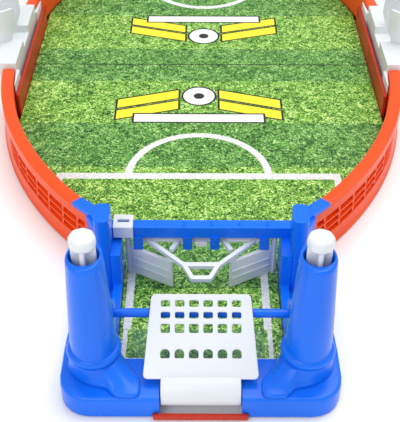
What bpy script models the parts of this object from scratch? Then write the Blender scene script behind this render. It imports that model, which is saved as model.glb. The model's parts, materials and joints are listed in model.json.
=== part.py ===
"""A two-player table football game with push buttons: a board in two halves, and a blue goal at each end.

+Y runs along the board, +X across it and +Z up. The origin is on the table, under the middle of the board.
Each end is modelled at -Y under an empty, and the far end's empty is turned by half a turn.
"""

import math

import bmesh
import bpy
from mathutils import Vector

MM = 0.001

# Driving dimensions, in millimetres.
CLEARANCE = 0.3
HALF_LENGTH = 273.6
GROUND_GAP = 0.6
TRAY_BOTTOM = 1.2
TRAY_THICKNESS = 1.5
FIELD_TOP = 9.0
FIELD_THICKNESS = 2.0
FIELD_HALF_WIDTH = 108.5
INNER_WALL_THICKNESS = 1.8
INNER_WALL_HEIGHT = 13.0
INNER_WALL_HALF_LENGTH = 58.0
SEAM_GAP = 0.15
FLOOR_RIB_X = 60.0
SILL_DEPTH = 1.8

RAIL_CENTRE = 85.9
RAIL_CENTRE_Y = 25.1
RAIL_OUTER_RADIUS = 208.3
RAIL_FLANGE_RADIUS = 207.0
RAIL_INNER_RADIUS = 200.0
RAIL_WALL = 2.0
RAIL_TOP = 29.0
RAIL_START = 40.0
RAIL_END = 177.0

BRIDGE_TOP = 32.0
BRIDGE_HALF_WIDTH = 126.0
BRIDGE_END_HALF_WIDTH = 123.0
BRIDGE_WALL = 2.0
CUP_RADIUS = 17.0
CUP_CENTRE = 130.0
CUP_BOTTOM = 30.0
CUP_TOP = 54.0

GOAL_HALF_WIDTH = 37.0
GOAL_Y = -191.0
POST_DEPTH = 18.0
POST_HALF_WIDTH = 48.0
POST_TOP = 53.0
WING_OUTLINE = [
    (59.2, -165.3), (63.6, -169.2), (53.5, -178.9), (49.5, -186.0), (47.5, -199.0), (43.0, -199.0),
    (43.5, -190.0), (47.0, -178.5), (52.6, -171.0),
]
CROSSBAR_BOTTOM = 33.0
CROSSBAR_TOP = 39.0
CROSSBAR_DEPTH = 5.7
GOAL_BACK = -246.0
GOAL_WALL = 4.0

BASE_HALF_WIDTH = 60.0
BASE_TOP = 12.0
DECK_TOP = 10.5
DECK_START = -176.0
GATE_HALF_WIDTH = 17.0
GATE_AXIS_Y = -263.5
GATE_AXIS_Z = 9.5
PIN_RADIUS = 1.2
PLATE_LOW_Y = -266.0
PLATE_LOW_Z = 16.0
PLATE_HIGH_Y = -237.5
PLATE_HIGH_Z = 37.5
PLATE_LOW_HALF_WIDTH = 24.4
PLATE_HIGH_HALF_WIDTH = 21.2
PLATE_THICKNESS = 1.8
HOLE_PITCH = 6.05
HOLE_WIDTH = 4.0

CROSS_ROD_Y = -240.5
CROSS_ROD_Z = 29.0
CROSS_ROD_RADIUS = 2.0

LEG_X = 45.2
LEG_Y = -254.5
LEG_TOP = 76.0
CUFF_Z = 23.0
CUFF_RADIUS = 11.6
BORE_RADIUS = 5.9
GUIDE_RADIUS = 2.6
SPRING_SEAT = 40.0
SPRING_TOP = 61.0
PLUNGER_RADIUS = 2.2
PLUNGER_BOTTOM = 12.0
BUTTON_TOP = 86.2
BUTTON_BOTTOM = 80.5
BUTTON_RADIUS = 5.4
BUTTON_TRAVEL = 5.0

FLIPPER_PIVOT_X = 34.4
FLIPPER_PIVOT_Y = -194.0
FLIPPER_LENGTH = 24.0
FLIPPER_ANGLE = 28.0
FLIPPER_BOTTOM = 10.0
FLIPPER_TOP = 25.9
FLIPPER_THICKNESS = 1.8
FLIPPER_PIN_RADIUS = 1.3
CRANK_LENGTH = 7.0
SLIDER_BOTTOM = 3.2
SLIDER_THICKNESS = 2.0
RAMP_BACK = 4.9
RAMP_FRONT = 1.8

GUARD_Y = -194.0
GUARD_Z = 29.3
GUARD_HALF_WIDTH = 31.5
GUARD_BAR = 2.2
HOOK_PLACES = (-29.5, -6.4, 6.4, 29.5)

CLIP_X = -36.1
CLIP_HALF_WIDTH = 4.6
CLIP_WALL = 1.6

FOOT_RADIUS = 6.0

BLUE = (0.010, 0.105, 0.85)
RED = (0.85, 0.075, 0.012)
WHITE = (0.82, 0.84, 0.86)
GREEN = (0.12, 0.33, 0.05)
STEEL = (0.55, 0.56, 0.58)
RUBBER = (0.04, 0.04, 0.045)


def plastic(name, colour, roughness, metallic=0.0):
    material = bpy.data.materials.new(name)
    material.use_nodes = True
    shader = material.node_tree.nodes["Principled BSDF"]
    shader.inputs["Base Color"].default_value = (*colour, 1.0)
    shader.inputs["Roughness"].default_value = roughness
    shader.inputs["Metallic"].default_value = metallic
    return material


def place(name, mesh_data, material, parent, smooth=True):
    """Turns a bmesh in millimetres into a named object in metres."""
    bmesh.ops.recalc_face_normals(mesh_data, faces=mesh_data.faces)
    bmesh.ops.scale(mesh_data, vec=(MM, MM, MM), verts=mesh_data.verts)
    mesh = bpy.data.meshes.new(name)
    mesh_data.to_mesh(mesh)
    mesh_data.free()
    mesh.materials.append(material)
    if smooth:
        mesh.shade_smooth()
        mesh.set_sharp_from_angle(angle=math.radians(35))
    obj = bpy.data.objects.new(name, mesh)
    bpy.context.scene.collection.objects.link(obj)
    obj.parent = parent
    return obj


def combine(target, tools, operation):
    """Joins or cuts a piece with hidden tool shapes."""
    for tool in tools:
        tool.hide_render = True
        tool.display_type = "WIRE"
        modifier = target.modifiers.new(tool.name, "BOOLEAN")
        modifier.operation = operation
        modifier.solver = "EXACT"
        modifier.object = tool
    return target


def prism(outline, low, high, axis="z"):
    """A flat outline carried from low to high along one axis."""
    order = {"z": (0, 1, 2), "x": (2, 0, 1), "y": (0, 2, 1)}[axis]
    mesh_data = bmesh.new()
    rings = []
    for level in (low, high):
        ring = []
        for a, b in outline:
            values = (a, b, level)
            ring.append(mesh_data.verts.new([values[i] for i in order]))
        rings.append(ring)
    count = len(outline)
    mesh_data.faces.new(rings[0])
    mesh_data.faces.new(rings[1])
    for i in range(count):
        j = (i + 1) % count
        mesh_data.faces.new((rings[0][i], rings[0][j], rings[1][j], rings[1][i]))
    return mesh_data


def box(x0, x1, y0, y1, z0, z1):
    return prism([(x0, y0), (x1, y0), (x1, y1), (x0, y1)], z0, z1)


def rounded(x0, x1, y0, y1, radius, steps=4):
    """A rectangle with round corners, as an outline."""
    points = []
    corners = ((x1, y1, 0), (x0, y1, 90), (x0, y0, 180), (x1, y0, 270))
    for x, y, start in corners:
        cx = x - radius if x == x1 else x + radius
        cy = y - radius if y == y1 else y + radius
        for i in range(steps + 1):
            angle = math.radians(start + 90 * i / steps)
            points.append((cx + radius * math.cos(angle), cy + radius * math.sin(angle)))
    return points


def circle(x, y, radius, count=20):
    turn = 2 * math.pi / count
    return [(x + radius * math.cos(i * turn), y + radius * math.sin(i * turn)) for i in range(count)]


def loft(rings):
    """A closed skin over a stack of rings with equal numbers of points."""
    mesh_data = bmesh.new()
    made = [[mesh_data.verts.new(point) for point in ring] for ring in rings]
    count = len(rings[0])
    for low, high in zip(made, made[1:]):
        for i in range(count):
            j = (i + 1) % count
            mesh_data.faces.new((low[i], low[j], high[j], high[i]))
    mesh_data.faces.new(made[0])
    mesh_data.faces.new(made[-1])
    return mesh_data


def turned(x, y, profile, count=20):
    """A round piece about a vertical axis: profile lists (radius, height) from the bottom up."""
    return loft([[(*point, z) for point in circle(x, y, radius, count)] for radius, z in profile])


def bar(start, end, width, low, high):
    """A straight flat bar between two points of a plan."""
    a, b = Vector(start), Vector(end)
    side = (b - a).normalized().orthogonal() * width / 2
    return prism([tuple(a + side), tuple(b + side), tuple(b - side), tuple(a - side)], low, high)


def arc_points(radius, from_y, to_y, side, steps):
    """Points on a side rail's arc, from one Y to another. side is -1 on the left and 1 on the right."""
    start = math.asin((from_y + RAIL_CENTRE_Y) / radius)
    end = math.asin((to_y + RAIL_CENTRE_Y) / radius)
    points = []
    for i in range(steps + 1):
        angle = start + (end - start) * i / steps
        x = side * (radius * math.cos(angle) - RAIL_CENTRE)
        points.append((x, radius * math.sin(angle) - RAIL_CENTRE_Y))
    return points


def both_sides(left):
    """Closes an outline whose left half is given, from the seam to the end."""
    return left + [(-x, y) for x, y in reversed(left)]


def add_tray(prefix, parent):
    low, high = TRAY_BOTTOM, TRAY_BOTTOM + TRAY_THICKNESS
    edge = FIELD_HALF_WIDTH + INNER_WALL_THICKNESS + CLEARANCE
    rim = RAIL_OUTER_RADIUS - 1.0 - RAIL_WALL - CLEARANCE
    left = [(-edge, -SEAM_GAP), (-edge, -RAIL_START - 1.0)]
    left += arc_points(rim, -RAIL_START - 1.0, 4.0 - RAIL_END, -1, 12)
    left += [(-GOAL_HALF_WIDTH + 1.0, DECK_START), (-GOAL_HALF_WIDTH + 1.0, GOAL_BACK - 4)]
    tray = place(prefix + "tray", prism(both_sides(left), low, high), RED_PLASTIC, parent)
    tools = []
    for side in (-1, 1):
        x = side * (FIELD_HALF_WIDTH + INNER_WALL_THICKNESS / 2 + CLEARANCE)
        half = INNER_WALL_THICKNESS / 2
        wall_top = FIELD_TOP + INNER_WALL_HEIGHT
        wall = box(x - half, x + half, -INNER_WALL_HALF_LENGTH, -SEAM_GAP, high - 0.8, wall_top)
        tools.append(place(prefix + f"wall_tool_{side}", wall, RED_PLASTIC, parent))
        rib_x, rib_top = side * FLOOR_RIB_X, FIELD_TOP - FIELD_THICKNESS - CLEARANCE
        rib = box(rib_x - 1, rib_x + 1, -150, -5, high - 0.8, rib_top)
        tools.append(place(prefix + f"rib_tool_{side}", rib, RED_PLASTIC, parent))
        inner, outer = GATE_HALF_WIDTH + 0.9, GATE_HALF_WIDTH + 3.0
        arm = box(side * inner, side * outer, -HALF_LENGTH - SILL_DEPTH, GOAL_BACK, low, high)
        tools.append(place(prefix + f"arm_tool_{side}", arm, RED_PLASTIC, parent))
    outer = GATE_HALF_WIDTH + 3.0
    sill = box(-outer, outer, -HALF_LENGTH - SILL_DEPTH, -HALF_LENGTH - CLEARANCE, GROUND_GAP, high + 0.8)
    tools.append(place(prefix + "sill_tool", sill, RED_PLASTIC, parent))
    return combine(tray, tools, "UNION")


def add_field(prefix, parent):
    radius = RAIL_INNER_RADIUS - CLEARANCE
    arc_start = -RAIL_CENTRE_Y - math.sqrt(radius ** 2 - (FIELD_HALF_WIDTH + RAIL_CENTRE) ** 2)
    left = [(-FIELD_HALF_WIDTH, -SEAM_GAP)]
    left += arc_points(radius, arc_start, 8.0 - RAIL_END, -1, 12)
    inside = -GOAL_HALF_WIDTH + CLEARANCE
    left += [(-GOAL_HALF_WIDTH - 6.0, GOAL_Y + 6.5), (inside, GOAL_Y + 3), (inside, GOAL_BACK - 5)]
    field = prism(both_sides(left), FIELD_TOP - FIELD_THICKNESS, FIELD_TOP)
    field = place(prefix + "field_board", field, GRASS_PRINT, parent)
    tools = []
    for side in (-1, 1):
        hole = circle(side * FLIPPER_PIVOT_X, FLIPPER_PIVOT_Y, FLIPPER_PIN_RADIUS + CLEARANCE, 12)
        hole = prism(hole, FIELD_TOP - 2 * FIELD_THICKNESS, FIELD_TOP + 1)
        tools.append(place(prefix + f"pivot_hole_{side}", hole, GRASS_PRINT, parent))
    return combine(field, tools, "DIFFERENCE")


def add_rail(prefix, side, parent):
    """A curved wall like an upturned channel, with three grooves along its outer face."""
    foot = RAIL_OUTER_RADIUS - 1.0
    profile = [(foot - RAIL_WALL, GROUND_GAP), (RAIL_OUTER_RADIUS, GROUND_GAP)]
    profile += [(RAIL_OUTER_RADIUS, 2.4), (foot, 2.8)]
    for low in (11.0, 16.0, 21.0):
        depth = 0.7
        lean = (foot - RAIL_FLANGE_RADIUS) / (RAIL_TOP - 2.8)
        outer = foot - lean * (low - 2.8)
        profile += [(outer, low), (outer - depth, low + 0.3)]
        profile += [(outer - depth, low + 3.2), (outer, low + 3.5)]
    profile += [(RAIL_FLANGE_RADIUS, RAIL_TOP), (RAIL_INNER_RADIUS, RAIL_TOP)]
    inner_bottom = FIELD_TOP + CLEARANCE
    profile += [(RAIL_INNER_RADIUS, inner_bottom), (RAIL_INNER_RADIUS + 1.8, inner_bottom)]
    under = RAIL_TOP - RAIL_WALL
    profile += [(RAIL_INNER_RADIUS + 1.8, under), (RAIL_FLANGE_RADIUS - 2.2, under)]
    start = math.asin((RAIL_START - RAIL_CENTRE_Y) / RAIL_OUTER_RADIUS)
    end = math.asin((RAIL_END - RAIL_CENTRE_Y) / RAIL_OUTER_RADIUS)
    steps = 12
    rings = []
    for i in range(steps + 1):
        angle = start + (end - start) * i / steps
        rings.append([
            (side * (radius * math.cos(angle) - RAIL_CENTRE), -RAIL_CENTRE_Y - radius * math.sin(angle), z)
            for radius, z in profile
        ])
    return place(prefix, loft(rings), RED_PLASTIC, parent)


def add_bridge(name, side):
    """The white piece that covers the joint of two rails, with a ball cup on its outside."""
    inner = FIELD_HALF_WIDTH + INNER_WALL_THICKNESS + 2 * CLEARANCE + 1.6
    half = RAIL_START - 1.5
    outer = [(BRIDGE_END_HALF_WIDTH, -half), (BRIDGE_HALF_WIDTH - 0.8, -26.0), (BRIDGE_HALF_WIDTH, -10.0)]
    outer = [(side * x, y) for x, y in outer + [(x, -y) for x, y in reversed(outer)]]
    body = prism([(side * inner, half), (side * inner, -half)] + outer, GROUND_GAP, BRIDGE_TOP)
    bridge = place(name, body, WHITE_PLASTIC, None)
    fins = []
    for end in (-1, 1):
        near = side * (FIELD_HALF_WIDTH + INNER_WALL_THICKNESS + 2 * CLEARANCE + 0.05)
        fin = [(near, end * (half - 1.5)), (near, end * 54.0), (side * 111.45, end * 54.0)]
        fin += [(side * 113.2, end * half), (side * 114.0, end * (half - 1.5))]
        fin = prism(fin, FIELD_TOP + 2 * CLEARANCE, RAIL_TOP - 2.0)
        fins.append(place(f"{name}_fin_{end}", fin, WHITE_PLASTIC, None))
    combine(bridge, fins, "UNION")
    cup = [(9, CUP_BOTTOM - 8), (14, CUP_BOTTOM), (CUP_RADIUS, CUP_TOP - 12.0), (CUP_RADIUS, CUP_TOP)]
    cup = turned(side * CUP_CENTRE, 0, cup)
    combine(bridge, [place(name + "_cup_tool", cup, WHITE_PLASTIC, None)], "UNION")
    small, near = half - BRIDGE_WALL, side * (inner + BRIDGE_WALL)
    hollow = [(x - side * BRIDGE_WALL, y * small / half) for x, y in outer]
    hollow = prism([(near, small), (near, -small)] + hollow, GROUND_GAP - 2, 20.0)
    bowl_wall = 1.8
    bowl = turned(side * CUP_CENTRE, 0, [
        (8, CUP_BOTTOM - 4), (14 - bowl_wall, CUP_BOTTOM + 2), (CUP_RADIUS - bowl_wall, 43),
        (CUP_RADIUS - bowl_wall, CUP_TOP + 2),
    ])
    reach = sorted((side * (inner - 4), side * CUP_CENTRE))
    chute = box(*reach, -9.5, 9.5, BRIDGE_TOP - 5.0, CUP_TOP + 2)
    tools = [
        place(name + "_hollow_tool", hollow, WHITE_PLASTIC, None),
        place(name + "_bowl_tool", bowl, WHITE_PLASTIC, None),
        place(name + "_chute_tool", chute, WHITE_PLASTIC, None),
    ]
    return combine(bridge, tools, "DIFFERENCE")


def add_base(prefix, parent):
    """The blue end housing: two side decks and two front blocks, joined behind the gate."""
    w, b = BASE_HALF_WIDTH, GOAL_HALF_WIDTH + GOAL_WALL + CLEARANCE
    corner = 13.0
    left = [(-b, GOAL_Y), (-w + 3, DECK_START - 3), (-w, GOAL_BACK)]
    for i in range(6):
        angle = math.radians(180 + 90 * i / 5)
        x, y = -w + corner * (1 + math.cos(angle)), -HALF_LENGTH + corner * (1 + math.sin(angle))
        left.append((x, y))
    slot = GATE_HALF_WIDTH + CLEARANCE
    left += [(-slot, -HALF_LENGTH), (-slot, GOAL_BACK - 10.5)]
    middle = [(-x, y) for x, y in reversed(left)]
    outline = left + middle + [(b, GOAL_BACK - 5.5), (-b, GOAL_BACK - 5.5)]
    base = place(prefix + "base_cover", prism(outline, GROUND_GAP, BASE_TOP), BLUE_PLASTIC, parent)
    tools = []
    tray_top = TRAY_BOTTOM + TRAY_THICKNESS + CLEARANCE
    under = GATE_HALF_WIDTH + 3.0 + CLEARANCE
    tools.append(box(-under, under, -HALF_LENGTH - 5, GOAL_BACK, GROUND_GAP - 1, tray_top))
    for side in (-1, 1):
        x = sorted((side * (b - 2), side * (w + 5)))
        tools.append(box(*x, -243.0, DECK_START + 5, DECK_TOP, BASE_TOP + 2))
        hollow = sorted((side * (b + 6), side * (w - 3)))
        tools.append(box(*hollow, -266.0, DECK_START - 6, GROUND_GAP - 1, DECK_TOP - 2.0))
        slider = sorted((side * (b - 1), side * (LEG_X + 3.4)))
        tools.append(box(*slider, -267.0, DECK_START + 5, GROUND_GAP - 1, 7.6))
        ramp_room = sorted((side * (LEG_X - 3.4), side * (LEG_X + 3.4)))
        room_end = LEG_Y - RAMP_BACK - BUTTON_TRAVEL - 2 * CLEARANCE
        tools.append(box(*ramp_room, room_end, -243.0, 7.0, BASE_TOP + 1))
    pin = prism(circle(GATE_AXIS_Y, GATE_AXIS_Z, PIN_RADIUS + CLEARANCE, 12), -26.0, 26.0, "x")
    tools.append(pin)
    tools = [place(prefix + f"base_tool_{i}", tool, BLUE_PLASTIC, parent) for i, tool in enumerate(tools)]
    return combine(base, tools, "DIFFERENCE")


def add_goal(prefix, parent):
    """Crossbar, posts, low side walls with the rod lugs, wings and the four rod hooks, in one moulding."""
    bottom = FIELD_TOP + CLEARANCE
    bar_back = GOAL_Y - CROSSBAR_DEPTH
    goal = box(-POST_HALF_WIDTH + 1, POST_HALF_WIDTH - 1, bar_back, GOAL_Y, CROSSBAR_BOTTOM, CROSSBAR_TOP)
    goal = place(prefix + "goal_frame", goal, BLUE_PLASTIC, parent)
    joined = []
    for side in (-1, 1):
        inner, outer = GOAL_HALF_WIDTH, POST_HALF_WIDTH
        floor = DECK_TOP + CLEARANCE
        post_x = sorted((side * (inner + GOAL_WALL), side * outer))
        post = rounded(*post_x, GOAL_Y - POST_DEPTH, bar_back + 0.7, 2.0, 3)
        joined.append(prism(post, floor, POST_TOP))
        joined.append(box(*post_x, bar_back, GOAL_Y, floor, CROSSBAR_BOTTOM + 1.0))
        side_box = sorted((side * inner, side * (inner + GOAL_WALL + 0.5)))
        joined.append(box(*side_box, GOAL_Y - POST_DEPTH, GOAL_Y, floor, CROSSBAR_BOTTOM))
        low_wall = sorted((side * inner, side * (inner + GOAL_WALL)))
        joined.append(box(*low_wall, GOAL_BACK + 4.0, GOAL_Y - 4, bottom, 15.0))
        lug = [(CROSS_ROD_Y - 2.8, 12.0), (CROSS_ROD_Y + 4.6, 12.0)]
        lug += [
            (CROSS_ROD_Y + 0.9 + 3.7 * math.cos(t), CROSS_ROD_Z + 3.0 + 3.7 * math.sin(t))
            for t in (math.radians(a) for a in range(0, 181, 30))
        ]
        joined.append(prism(lug, *sorted((side * (inner + 0.4), side * (inner + 3.6))), "x"))
        start, end = (side * 53.6, -RAIL_END + 0.2), (side * (outer - 3.0), GOAL_Y - 4.0)
        joined.append(bar(start, end, 5.0, floor, RAIL_TOP + 1.0))
        wing = [(side * x, y) for x, y in WING_OUTLINE]
        joined.append(prism(wing, RAIL_TOP + CLEARANCE, RAIL_TOP + 2.6))
    for x in HOOK_PLACES:
        inner = GUARD_BAR / 2 + CLEARANCE + 0.2
        hook = [
            (bar_back + 0.6, CROSSBAR_BOTTOM + 1.0), (bar_back - 0.9, CROSSBAR_BOTTOM + 1.0),
            (bar_back - 0.9, GUARD_Z - inner - 1.4), (GOAL_Y - 0.6, GUARD_Z - inner - 1.4),
            (GOAL_Y - 0.6, CROSSBAR_BOTTOM + 1.0), (GUARD_Y + inner, CROSSBAR_BOTTOM + 1.0),
            (GUARD_Y + inner, GUARD_Z - inner), (GUARD_Y - inner, GUARD_Z - inner),
            (GUARD_Y - inner, CROSSBAR_BOTTOM + 0.4),
        ]
        joined.append(prism(hook, x - 2.2, x + 2.2, "x"))
    tools = [place(prefix + f"goal_join_{i}", tool, BLUE_PLASTIC, parent) for i, tool in enumerate(joined)]
    combine(goal, tools, "UNION")
    socket = prism(circle(CROSS_ROD_Y, CROSS_ROD_Z, CROSS_ROD_RADIUS + CLEARANCE, 14), -60.0, 60.0, "x")
    return combine(goal, [place(prefix + "rod_socket", socket, BLUE_PLASTIC, parent)], "DIFFERENCE")


def add_leg(prefix, side, parent):
    """A hollow shin standing on a boot whose toe points inwards."""
    x = side * LEG_X
    stack = [(10.6, 11.2, BASE_TOP + CLEARANCE), (10.0, 10.4, 22.0), (9.6, 10.2, 34.0)]
    stack += [(8.6, 10.0, 52.0), (7.6, 9.7, 68.0), (7.3, 9.5, 74.5), (6.9, 9.1, LEG_TOP)]
    rings = []
    for rx, ry, z in stack:
        ring = circle(0, 0, 1.0, 18)
        rings.append([(x + rx * a, LEG_Y + ry * b, z) for a, b in ring])
    leg = place(prefix + "leg", loft(rings), BLUE_PLASTIC, parent)
    r = CUFF_RADIUS
    cuff = [(r - 3, CUFF_Z - 2.6), (r, CUFF_Z - 1.6), (r, CUFF_Z + 1.0), (r - 0.8, CUFF_Z + 2.0)]
    cuff = turned(x, LEG_Y, cuff + [(r - 3, CUFF_Z + 2.4)], 20)
    toe_end = GATE_HALF_WIDTH + 8.4
    boot = [
        (57.2, -248.5), (57.2, -257.0), (54.4, -261.4), (49.5, -265.2), (45.0, -267.2), (39.6, -268.2),
        (37.4, -270.8), (35.0, -272.8), (28.0, -273.0), (toe_end, -271.4), (toe_end, -264.0),
        (29.5, -258.5), (34.0, -250.5), (37.2, -246.5),
    ]
    boot = prism([(side * a, b) for a, b in boot], BASE_TOP + CLEARANCE, BASE_TOP + 6.0)
    joined = [(cuff, "cuff_tool"), (boot, "boot_tool")]
    combine(leg, [place(prefix + tool, shape, BLUE_PLASTIC, parent) for shape, tool in joined], "UNION")
    wide = prism(circle(x, LEG_Y, BORE_RADIUS, 16), SPRING_SEAT, LEG_TOP + 3)
    narrow = prism(circle(x, LEG_Y, GUIDE_RADIUS, 12), 0.0, SPRING_SEAT + 1)
    cuts = [
        place(prefix + "bore_tool", wide, BLUE_PLASTIC, parent),
        place(prefix + "guide_tool", narrow, BLUE_PLASTIC, parent),
    ]
    return combine(leg, cuts, "DIFFERENCE")


def add_button(prefix, side, parent):
    """A domed cap on a cross-shaped stem, with a round plunger below it."""
    x = side * LEG_X
    r = BUTTON_RADIUS
    cap = [(r * 0.82, BUTTON_BOTTOM), (r, BUTTON_BOTTOM + 1.2), (r, BUTTON_TOP - 1.8)]
    cap += [(r * 0.88, BUTTON_TOP - 0.6), (r * 0.5, BUTTON_TOP)]
    button = place(prefix + "button", turned(x, LEG_Y, cap, 16), WHITE_PLASTIC, parent)
    arm, half = BORE_RADIUS - 0.9, 0.9
    low, high = SPRING_TOP + CLEARANCE, BUTTON_BOTTOM + 1.5
    plunger = [(PLUNGER_RADIUS * 0.6, PLUNGER_BOTTOM), (PLUNGER_RADIUS, PLUNGER_BOTTOM + 1.2)]
    stem = [
        box(x - arm, x + arm, LEG_Y - half, LEG_Y + half, low, high),
        box(x - half, x + half, LEG_Y - arm, LEG_Y + arm, low, high),
        turned(x, LEG_Y, plunger + [(PLUNGER_RADIUS, SPRING_TOP + 6)], 12),
    ]
    tools = [place(prefix + f"stem_tool_{i}", tool, WHITE_PLASTIC, parent) for i, tool in enumerate(stem)]
    return combine(button, tools, "UNION")


def add_spring(prefix, side, parent):
    """A coil of wire round the plunger, between the seat in the leg and the cross-shaped stem."""
    turns, per_turn, coil, wire = 5, 9, 4.1, 0.5
    low, high = SPRING_SEAT + wire + CLEARANCE, SPRING_TOP - wire - CLEARANCE
    rings = []
    for i in range(turns * per_turn + 1):
        angle = 2 * math.pi * i / per_turn
        out = Vector((math.cos(angle), math.sin(angle), 0.0))
        middle = Vector((side * LEG_X, LEG_Y, low + (high - low) * i / (turns * per_turn))) + out * coil
        ring = []
        for k in range(4):
            t = 2 * math.pi * k / 4
            ring.append(tuple(middle + out * wire * math.cos(t) + Vector((0, 0, wire * math.sin(t)))))
        rings.append(ring)
    return place(prefix + "button_spring", loft(rings), SPRING_STEEL, parent)


def add_slider(prefix, side, parent):
    """The drive bar under the deck: the plunger pushes its ramp, and its peg pushes the flipper's crank."""
    x = side * LEG_X
    low, high = SLIDER_BOTTOM, SLIDER_BOTTOM + SLIDER_THICKNESS
    ramp_top, ramp_start, back = PLUNGER_BOTTOM - 0.1, LEG_Y - RAMP_FRONT, LEG_Y - RAMP_BACK
    nose = FLIPPER_PIVOT_Y + 7.0
    outline = [
        (back, low), (nose, low), (nose, high), (ramp_start + ramp_top - high, high),
        (ramp_start, ramp_top), (back, ramp_top),
    ]
    slider = place(prefix + "drive_slider", prism(outline, x - 2.6, x + 2.6, "x"), WHITE_PLASTIC, parent)
    peg_reach = sorted((side * (FLIPPER_PIVOT_X + 6.0), side * LEG_X))
    peg = box(*peg_reach, nose - 2.0, nose, low, high)
    return combine(slider, [place(prefix + "peg_tool", peg, WHITE_PLASTIC, parent)], "UNION")


def add_flipper(prefix, side, parent):
    """A ribbed blade on a vertical pin, with a crank under the field board. Its origin is on the pin."""
    pivot = bpy.data.objects.new(prefix + "flipper_pivot", None)
    bpy.context.scene.collection.objects.link(pivot)
    pivot.parent = parent
    pivot.location = (side * FLIPPER_PIVOT_X * MM, FLIPPER_PIVOT_Y * MM, 0)
    pivot.rotation_euler[2] = math.radians(side * FLIPPER_ANGLE)
    length, half = -side * FLIPPER_LENGTH, FLIPPER_THICKNESS / 2
    blade = rounded(*sorted((0.0, length)), -half, half, half * 0.9, 2)
    flipper = place(prefix + "flipper", prism(blade, FLIPPER_BOTTOM, FLIPPER_TOP), WHITE_PLASTIC, pivot)
    crank_low, crank_high = 3.4, 5.8
    crank = box(*sorted((0.0, side * CRANK_LENGTH)), -1.1, 1.1, crank_low, crank_high)
    pin = prism(circle(0, 0, FLIPPER_PIN_RADIUS, 12), crank_low, CROSSBAR_BOTTOM - CLEARANCE)
    ribs = []
    for z in (FLIPPER_BOTTOM + 5.0, FLIPPER_BOTTOM + 9.5):
        reach = sorted((length * 0.12, length * 0.96))
        ribs.append(box(*reach, -half - 0.4, half + 0.4, z, z + 0.8))
    tools = enumerate([pin, crank] + ribs)
    tools = [place(prefix + f"flipper_tool_{i}", tool, WHITE_PLASTIC, pivot) for i, tool in tools]
    return combine(flipper, tools, "UNION")


def add_guard(prefix, parent):
    """The open white frame that hangs by its rod in the crossbar's hooks."""
    low, high = GUARD_Z - 1.0, GUARD_Z + 1.0
    rod = prism(circle(GUARD_Y, GUARD_Z, GUARD_BAR / 2, 10), -GUARD_HALF_WIDTH, GUARD_HALF_WIDTH, "x")
    guard = place(prefix + "roof_guard", rod, WHITE_PLASTIC, parent)
    far_bar, mid_bar = GUARD_Y - 26.0, GUARD_Y - 17.5
    bars = [bar((-8.2, mid_bar), (8.2, mid_bar), 2.6, low, high)]
    bars.append(bar((-4.4, far_bar), (4.4, far_bar), 2.4, low, high))
    for side in (-1, 1):
        bars.append(bar((side * 25.0, GUARD_Y - 0.4), (side * 7.6, mid_bar - 0.4), 2.0, low, high))
        bars.append(bar((side * 10.2, GUARD_Y), (side * 14.0, mid_bar + 10.0), 2.0, low, high))
        bars.append(bar((side * 7.8, mid_bar), (side * 3.8, far_bar - 0.4), 2.0, low, high))
    bars.append(box(-2.6, 2.6, GUARD_Y - 3.6, GUARD_Y, low, high))
    tools = [place(prefix + f"guard_tool_{i}", tool, WHITE_PLASTIC, parent) for i, tool in enumerate(bars)]
    return combine(guard, tools, "UNION")


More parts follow.
